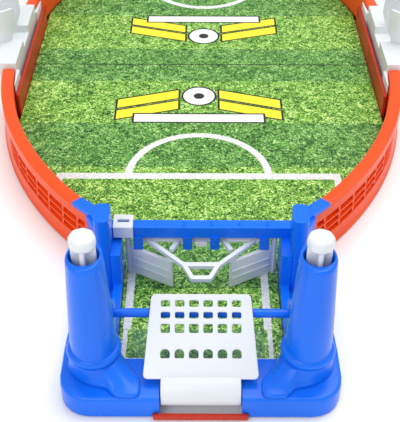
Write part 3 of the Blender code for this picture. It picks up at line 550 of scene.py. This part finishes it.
# --- Score scale -----------------------------------------------------------------------------
# The figures 1 to 5 for the score clip. They are raised on the crossbar's top, in the same blue
# plastic and the same moulding.
CROSSBAR_MIDDLE, CROSSBAR_TOP = -193.9, 39.0
FIRST_FIGURE, FIGURE_PITCH, FIGURE_SIZE, FIGURE_RISE = -21.0, 12.9, 4.4, 0.25


def figure_shape(number):
    """The points and faces of one figure, drawn as text about the origin and given a thickness."""
    figure = bpy.data.curves.new("figure", "FONT")
    figure.body, figure.size = str(number), FIGURE_SIZE
    figure.align_x = figure.align_y = "CENTER"
    figure.extrude, figure.resolution_u = FIGURE_RISE, 3
    drawn = bpy.data.objects.new("figure", figure)
    bpy.context.scene.collection.objects.link(drawn)
    bpy.context.view_layer.update()
    solid = bpy.data.meshes.new_from_object(drawn)
    bpy.data.objects.remove(drawn)
    points = np.empty(len(solid.vertices) * 3)
    solid.vertices.foreach_get("co", points)
    return points.reshape(-1, 3), [np.array(face.vertices) for face in solid.polygons]


for end, turn in ENDS:
    points, faces, count = [], [], 0
    for number in range(5):
        corners, outlines = figure_shape(number + 1)
        points.append(corners + (FIRST_FIGURE + number * FIGURE_PITCH, CROSSBAR_MIDDLE, CROSSBAR_TOP))
        faces += [(outline + count).tolist() for outline in outlines]
        count += len(corners)
    put(end + "_score_figures", turned_end(np.concatenate(points), turn), faces, BLUE, "game_body")

# --- Legs ------------------------------------------------------------------------------------
# Each leg is a hollow oval shin with a rolled rim, a cuff ring above the boot, and a boot whose
# toe points inwards; it is moulded in the same blue as the base.
LEG_X, LEG_Y, BORE, SEAT = 45.2, -254.5, 5.9, 40.0
SHIN_KNOWN = (12.3, 22.0, 34.0, 52.0, 68.0, 75.0)
SHIN_WIDE = (10.5, 10.0, 9.6, 8.6, 7.7, 7.3)
SHIN_DEEP = (11.1, 10.4, 10.2, 10.0, 9.7, 9.5)
RIM_HEIGHTS = (75.2, 75.7, 76.0, 76.0, 75.6, 74.6)
CUFF_HEIGHT, CUFF_RADIUS, CUFF_THICK, CUFF_TALL = 22.8, 9.6, 2.0, 2.5
ANKLE_RADIUS, BOOT_BASE, BOOT_BROW, BOOT_RISE = 10.7, 12.3, 13.8, 6.6
BOOT_OUTLINE = (
    (57.2, -248.5), (57.2, -257.0), (54.4, -261.4), (49.5, -265.2), (45.0, -267.2), (39.6, -268.2),
    (37.4, -270.8), (35.0, -272.8), (28.0, -273.0), (25.4, -271.4), (25.4, -264.0), (29.5, -258.5),
    (34.0, -250.5), (37.2, -246.5), (44.0, -243.9), (52.0, -244.4),
)


def stacked(side, wide, deep, heights, around, facet=1.0):
    """Rings about a leg's axis: at each height an oval of two half-widths, times a factor of the angle."""
    t = np.linspace(0, 2 * np.pi, around, endpoint=False)
    x = side * LEG_X + np.asarray(wide)[:, None] * np.cos(t) * facet
    y = LEG_Y + np.asarray(deep)[:, None] * np.sin(t) * facet
    return np.stack([x, y, np.broadcast_to(np.asarray(heights)[:, None], x.shape)], -1)


def shin_points(side, around=72):
    """Rings up the outside, over the rim and down the bore: an oval whose half-widths follow the height."""
    heights = np.concatenate([np.linspace(SHIN_KNOWN[0], RIM_HEIGHTS[-1], 34), RIM_HEIGHTS, [SEAT]])
    outer_roll, inner_roll = np.array([0.15, 0.45, 1.0]), np.array([0.35, 0.1, 0.0, 0.0])
    halves = []
    for known in (SHIN_WIDE, SHIN_DEEP):
        half = np.interp(heights, SHIN_KNOWN, known)
        half[-7:-4] -= outer_roll
        half[-4:] = BORE + inner_roll
        halves.append(half)
    return stacked(side, *halves, heights, around)


def ring_points(x, y, z, radius, thick, tall, around=72, section=20):
    """A rolled ring: an upright oval section, thick across and tall upwards, carried round a circle."""
    t = np.linspace(0, 2 * np.pi, around, endpoint=False)[:, None]
    s = np.linspace(0, 2 * np.pi, section, endpoint=False)[None]
    r = radius + thick * np.cos(s)
    return np.stack([x + r * np.cos(t), y + r * np.sin(t), z + tall * np.sin(s) + 0 * t], -1)


def smooth_outline(corners, rounds=3):
    """Cuts each corner of a closed outline a fifth along both of its sides, again and again."""
    points = np.asarray(corners, float)
    for _ in range(rounds):
        following = np.roll(points, -1, axis=0)
        cuts = [0.8 * points + 0.2 * following, 0.2 * points + 0.8 * following]
        points = np.stack(cuts, 1).reshape(-1, 2)
    return points


def boot_points(side):
    """The boot: from a smooth outline on the base its skin climbs in rings to a circle under the cuff.

    Each ring is a share of the way from the outline to the circle; its height grows as the share to
    the power of 1.6, so the foot stays low and the ankle steepens.
    """
    outline = smooth_outline(BOOT_OUTLINE)
    bearing = np.arctan2(outline[:, 1] - LEG_Y, outline[:, 0] - LEG_X)
    ankle = np.array([LEG_X, LEG_Y]) + ANKLE_RADIUS * np.column_stack([np.cos(bearing), np.sin(bearing)])
    climb = np.linspace(0.12, 1.0, 12)
    shares = np.concatenate([[0.0, 0.0, 0.015, 0.05], climb])
    heights = np.concatenate([[BOOT_BASE, 13.0, 13.5, BOOT_BROW], BOOT_BROW + BOOT_RISE * climb ** 1.6])
    rings = outline[None] + (ankle - outline)[None] * shares[:, None, None]
    heights = np.broadcast_to(heights[:, None, None], rings[..., :1].shape)
    return np.concatenate([rings * (side, 1), heights], -1)


for end, turn in ENDS:
    for side_name, side in SIDES:
        cuff = ring_points(side * LEG_X, LEG_Y, CUFF_HEIGHT, CUFF_RADIUS, CUFF_THICK, CUFF_TALL)
        points, faces = joined([(shin_points(side), False), (cuff, True), (boot_points(side), False)])
        put(f"{end}_{side_name}_shin_and_boot", turned_end(points, turn), faces, BLUE, "game_body",
            (f"{end}_{side_name}_leg",), 50)

# --- Push buttons ----------------------------------------------------------------------------
# A white cap with eight soft corners on a cross-shaped stem, which runs on a coil spring. A thin
# plunger goes on down through the spring; cap, stem and plunger are one moulding.
CAP_HEIGHTS = (80.5, 80.6, 80.9, 81.5, 82.4, 83.8, 84.8, 85.5, 85.95, 86.15, 86.2)
CAP_RADII = (4.2, 4.55, 4.9, 5.2, 5.38, 5.4, 5.25, 4.9, 4.3, 3.4, 1.0)
CAP_FACET = 0.022
STEM_ARM, STEM_HALF, STEM_CORNER, STEM_HEIGHTS = 4.9, 0.95, 0.4, (61.4, 81.4)
PLUNGER_RADII, PLUNGER_HEIGHTS = (1.3, 2.2, 2.2), (12.0, 13.2, 66.0)


def cap_points(side, around=64):
    """The cap: rings whose radius swells and shrinks eight times on the way round."""
    t = np.linspace(0, 2 * np.pi, around, endpoint=False)
    facet = (1.0 + CAP_FACET * np.cos(8 * t)) / (1.0 + CAP_FACET)
    return stacked(side, CAP_RADII, CAP_RADII, CAP_HEIGHTS, around, facet)


def stem_points(side):
    """The stem: one arm's outline turned by four quarters to a plus, straight from spring to cap."""
    half, arm, cut = STEM_HALF, STEM_ARM, STEM_CORNER
    tip = [(half, arm - cut), (half - cut, arm), (cut - half, arm), (-half, arm - cut)]
    outline = np.array([(half, half), *tip, (-half, half)])
    angles = np.arange(4) * np.pi / 2
    quarters = np.array([[np.cos(angles), np.sin(angles)], [-np.sin(angles), np.cos(angles)]])
    section = (outline @ quarters.transpose(2, 0, 1)).reshape(-1, 2) + (side * LEG_X, LEG_Y)
    return np.array([np.column_stack([section, np.full(len(section), z)]) for z in STEM_HEIGHTS])


def plunger_points(side, around=24):
    """The plunger: a round rod whose lower end is drawn in."""
    return stacked(side, PLUNGER_RADII, PLUNGER_RADII, PLUNGER_HEIGHTS, around)


for end, turn in ENDS:
    for side_name, side in SIDES:
        button = [(part(side), False) for part in (cap_points, stem_points, plunger_points)]
        points, faces = joined(button)
        put(f"{end}_{side_name}_push_button", turned_end(points, turn), faces, WHITE,
            f"{end}_{side_name}_button_body", (f"{end}_{side_name}_button",), 50)

# --- Hidden drive: springs and slides --------------------------------------------------------
# Under each deck a white slide carries the button's push to the flipper; a steel spring lifts it.
# The gate's hinge pin is of the same bright wire.
WIRE_DARK, WIRE_BRIGHT = (0.42, 0.43, 0.45), (0.62, 0.63, 0.65)


def drawn_wire():
    """Bare steel whose tone varies finely along the wire."""
    material = bpy.data.materials.new("spring_steel")
    material.use_nodes = True
    tree = material.node_tree
    shader = tree.nodes["Principled BSDF"]
    coordinates = tree.nodes.new("ShaderNodeTexCoord").outputs["Object"]
    tone = ramp(tree, noise(tree, coordinates, 400.0), (0.3, WIRE_DARK), (0.7, WIRE_BRIGHT))
    tree.links.new(tone, shader.inputs["Base Color"])
    shader.inputs["Metallic"].default_value = 1.0
    shader.inputs["Roughness"].default_value = 0.3
    return material


STEEL = drawn_wire()
for end, _ in ENDS:
    finished(end + "_gate_hinge_pin", STEEL)
    for side_name, _ in SIDES:
        finished(f"{end}_{side_name}_button_spring", STEEL)
        softened(f"{end}_{side_name}_drive_slider", WHITE, 0.0003, 2)

# --- Net gates -------------------------------------------------------------------------------
# A white plate with four rows of six soft-cornered holes slopes up over the goal. Below it a
# curved finger front and three webs hang from the barrel on the hinge pin.
PLATE_LOW, PLATE_HIGH = np.array([-266.0, 16.0]), np.array([-237.5, 37.5])
PLATE_LOW_HALF, PLATE_HIGH_HALF, PLATE_THICK = 24.4, 21.2, 1.8
PLATE_LENGTH = math.hypot(*(PLATE_HIGH - PLATE_LOW))
PLATE_CORNER, PLATE_EDGE = 1.6, 0.35
HOLE_PITCH, HOLE_HALF, HOLE_COUNT, CELL_STEPS, MARGIN_STEPS = 6.05, 2.0, 6, 8, 4
# Each row of holes: its middle and half-height, then where its cells start and end, from the top.
HOLE_ROWS = ((4.0, 1.4, 1.9, 6.5), (9.0, 1.4, 6.5, 11.5), (14.6, 1.9, 11.5, 18.0), (25.2, 1.9, 21.6, 28.6))
TALL_HOLE_ROUND, HOLE_ROUND = 1.8, 0.75


def on_plate(flat, depth):
    """A place on the plate, from (x, distance from its top edge) and the depth below its upper face."""
    along = (PLATE_HIGH - PLATE_LOW) / PLATE_LENGTH
    rise = PLATE_LENGTH - flat[..., 1]
    y = PLATE_LOW[0] + along[0] * rise + along[1] * depth
    z = PLATE_LOW[1] + along[1] * rise - along[0] * depth
    return np.stack([flat[..., 0], y, z], -1)


def plate_grid():
    """(x, distance from the top) over the plate; the cells' rows and columns lie on fixed lines.

    The half-width runs straight from the top's to the bottom's, less a quarter circle at each corner.
    """
    first, last = HOLE_ROWS[0][2], HOLE_ROWS[-1][3]
    gap_start, gap_end = HOLE_ROWS[-2][3], HOLE_ROWS[-1][2]
    eased = np.array([0.0, 0.06, 0.2, 0.45, 0.75])
    bottom = PLATE_LENGTH - PLATE_EDGE
    downs = [PLATE_EDGE + eased * (first - PLATE_EDGE)]
    downs += [np.linspace(low, high, CELL_STEPS + 1)[:-1] for _, _, low, high in HOLE_ROWS[:-1]]
    downs += [np.linspace(gap_start, gap_end, 4)[:-1], np.linspace(gap_end, last, CELL_STEPS + 1)]
    downs = np.concatenate([*downs, bottom - (bottom - last) * eased[::-1]])
    half = np.interp(downs, [0, PLATE_LENGTH], [PLATE_HIGH_HALF, PLATE_LOW_HALF]) - PLATE_EDGE
    near = np.clip(np.minimum(downs, PLATE_LENGTH - downs) - PLATE_EDGE, 0, PLATE_CORNER)
    half -= PLATE_CORNER - np.sqrt(PLATE_CORNER ** 2 - (PLATE_CORNER - near) ** 2)
    inner = np.linspace(-0.5, 0.5, HOLE_COUNT * CELL_STEPS + 1) * HOLE_COUNT * HOLE_PITCH
    margin = inner[-1] + (half[:, None] - inner[-1]) * np.array([1.0, 0.9, 0.6, 0.3])
    x = np.concatenate([-margin, np.broadcast_to(inner, (len(downs), len(inner))), margin[:, ::-1]], 1)
    return np.stack([x, np.broadcast_to(downs[:, None], x.shape)], -1)


def ring_quads(first, second):
    """Quads between two closed rings of point numbers."""
    return np.stack([first, np.roll(first, -1), np.roll(second, -1), second], -1).tolist()


def border(numbers):
    """The numbers round the edge of a block, in order."""
    return np.concatenate([numbers[0, :-1], numbers[:-1, -1], numbers[-1, :0:-1], numbers[:0:-1, 0]])


def hole_ring(spread, middle, size, tall_round):
    """A soft-cornered ring about a hole's middle, with a point for each point of its cell's border.

    spread gives the border's points from -1 to 1 both ways. Each is scaled to the hole and drawn in
    to the nearest point of a rectangle whose corners are rounded.
    """
    soft = np.where((spread[:, 1:] < 0) & tall_round, TALL_HOLE_ROUND, HOLE_ROUND)
    aim = spread * size
    core = np.clip(aim, soft - size, size - soft)
    off = aim - core
    reach = np.maximum(np.linalg.norm(off, axis=1, keepdims=True), 1e-9)
    return middle + core + off / reach * np.minimum(soft, reach * 9)


def plate_shape():
    """The plate: an upper and a lower face on one grid, 24 holes cut through it, and a rolled edge."""
    grid = plate_grid()
    rows, columns = grid.shape[:2]
    numbers = np.arange(rows * columns).reshape(rows, columns)
    flat = grid.reshape(-1, 2)
    points, count = [on_plate(flat, 0.0), on_plate(flat, PLATE_THICK)], 2 * rows * columns
    solid = np.ones((rows - 1, columns - 1), bool)
    faces = []
    for centre, tall, low, high in HOLE_ROWS:
        top = int(np.argmin(np.abs(grid[:, 0, 1] - low)))
        for column in range(HOLE_COUNT):
            left = MARGIN_STEPS + column * CELL_STEPS
            solid[top:top + CELL_STEPS, left:left + CELL_STEPS] = False
            edge = border(numbers[top:top + CELL_STEPS + 1, left:left + CELL_STEPS + 1])
            middle = np.array([(column - (HOLE_COUNT - 1) / 2) * HOLE_PITCH, centre])
            cell = np.array([HOLE_PITCH / 2, (high - low) / 2])
            spread = (flat[edge] - (middle[0], (low + high) / 2)) / cell
            previous = edge
            for extra, depth in ((0.3, 0.0), (0.07, 0.08), (0.0, 0.35), (0.0, PLATE_THICK)):
                size = np.array([HOLE_HALF, tall]) + extra
                ring = hole_ring(spread, middle, size, low == HOLE_ROWS[-1][2])
                points.append(on_plate(ring, depth))
                fresh = np.arange(count, count + len(ring))
                faces += ring_quads(previous, fresh)
                previous, count = fresh, count + len(ring)
            faces += ring_quads(previous, edge + rows * columns)
    corners = np.stack([numbers[:-1, :-1], numbers[:-1, 1:], numbers[1:, 1:], numbers[1:, :-1]], -1)[solid]
    faces += corners.tolist() + (corners + rows * columns).tolist()
    rim = border(numbers)
    tangent = np.roll(flat[rim], -1, axis=0) - np.roll(flat[rim], 1, axis=0)
    outward = np.stack([tangent[:, 1], -tangent[:, 0]], -1) / np.linalg.norm(tangent, axis=1, keepdims=True)
    outward *= np.sign((outward * (flat[rim] - flat.mean(0))).sum())
    previous = rim
    rolled = ((0.22, 0.06), (PLATE_EDGE, 0.3), (PLATE_EDGE, PLATE_THICK - 0.3), (0.22, PLATE_THICK - 0.06))
    for out, depth in rolled:
        points.append(on_plate(flat[rim] + outward * out, depth))
        fresh = np.arange(count, count + len(rim))
        faces += ring_quads(previous, fresh)
        previous, count = fresh, count + len(rim)
    faces += ring_quads(previous, rim + rows * columns)
    return np.concatenate(points), faces


def across_sections(outline, half, edge=0.3):
    """A closed (y, z) outline carried along x; near both ends it is drawn in along a quarter circle."""
    outline = np.asarray(outline, float)
    tangent = np.roll(outline, -1, axis=0) - np.roll(outline, 1, axis=0)
    inward = np.stack([-tangent[:, 1], tangent[:, 0]], -1) / np.linalg.norm(tangent, axis=1, keepdims=True)
    inward *= np.sign((inward * (outline.mean(0) - outline)).sum())
    back = edge * np.array([0.0, 0.3, 0.7, 1.0])
    draw = edge - np.sqrt(edge ** 2 - (edge - back) ** 2)
    stations = np.concatenate([-half + back, half - back[::-1]])
    draw = np.concatenate([draw, draw[::-1]])
    flat = outline[None] + inward[None] * draw[:, None, None]
    x = np.broadcast_to(stations[:, None], flat.shape[:2])
    return np.concatenate([x[..., None], flat], -1)


FINGER_FRONT = (
    (-262.8, 17.2), (-267.5, 15.9), (-270.3, 14.4), (-271.9, 12.0), (-272.4, 9.4), (-272.2, 7.2),
    (-271.5, 5.4), (-269.9, 5.6), (-270.4, 7.4), (-270.6, 9.4), (-270.1, 11.4), (-268.9, 13.0),
    (-266.6, 14.2), (-263.0, 15.4),
)
WEB = ((-270.6, 9.0), (-270.2, 11.2), (-267.0, 14.4), (-262.5, 15.2), (-262.5, 9.0))
WEB_PLACES, WEB_HALF, WEB_EDGE = (-12.0, 0.0, 12.0), 0.8, 0.1
FRONT_HALF, BARREL_HALF, BARREL_RADIUS = 16.8, 16.4, 2.8
HINGE = np.array([-263.5, 9.5])


def gate_parts():
    """The finger front, the barrel and the webs, each as a stack of sections along x."""
    t = np.linspace(0, 2 * np.pi, 40, endpoint=False)
    barrel = HINGE + BARREL_RADIUS * np.column_stack([np.cos(t), np.sin(t)])
    front = across_sections(smooth_outline(FINGER_FRONT, 2), FRONT_HALF)
    web = across_sections(WEB, WEB_HALF, WEB_EDGE)
    return [front, across_sections(barrel, BARREL_HALF)] + [web + (x, 0, 0) for x in WEB_PLACES]


for end, turn in ENDS:
    points, faces = plate_shape()
    more_points, more_faces = joined([(part, False) for part in gate_parts()])
    faces += [[number + len(points) for number in face] for face in more_faces]
    put(end + "_holed_gate", turned_end(np.concatenate([points, more_points]), turn), faces, WHITE,
        end + "_gate_body", (end + "_net_gate",), 50)

# --- Goal furniture --------------------------------------------------------------------------
# White flippers on upright pins, the open guard that hangs by its rod from the crossbar's hooks,
# the blue rod behind the plate and the white score clip that grips the crossbar.
for end, _ in ENDS:
    for side_name, _ in SIDES:
        softened(f"{end}_{side_name}_flipper", WHITE, 0.00035, 2)
    softened(end + "_roof_guard", WHITE, 0.0004, 2)
    softened(end + "_cross_rod", BLUE, 0.0002, 2)
    softened(end + "_score_clip", WHITE, 0.0004, 3)

# --- Finish ------------------------------------------------------------------------------------
bpy.context.view_layer.update()
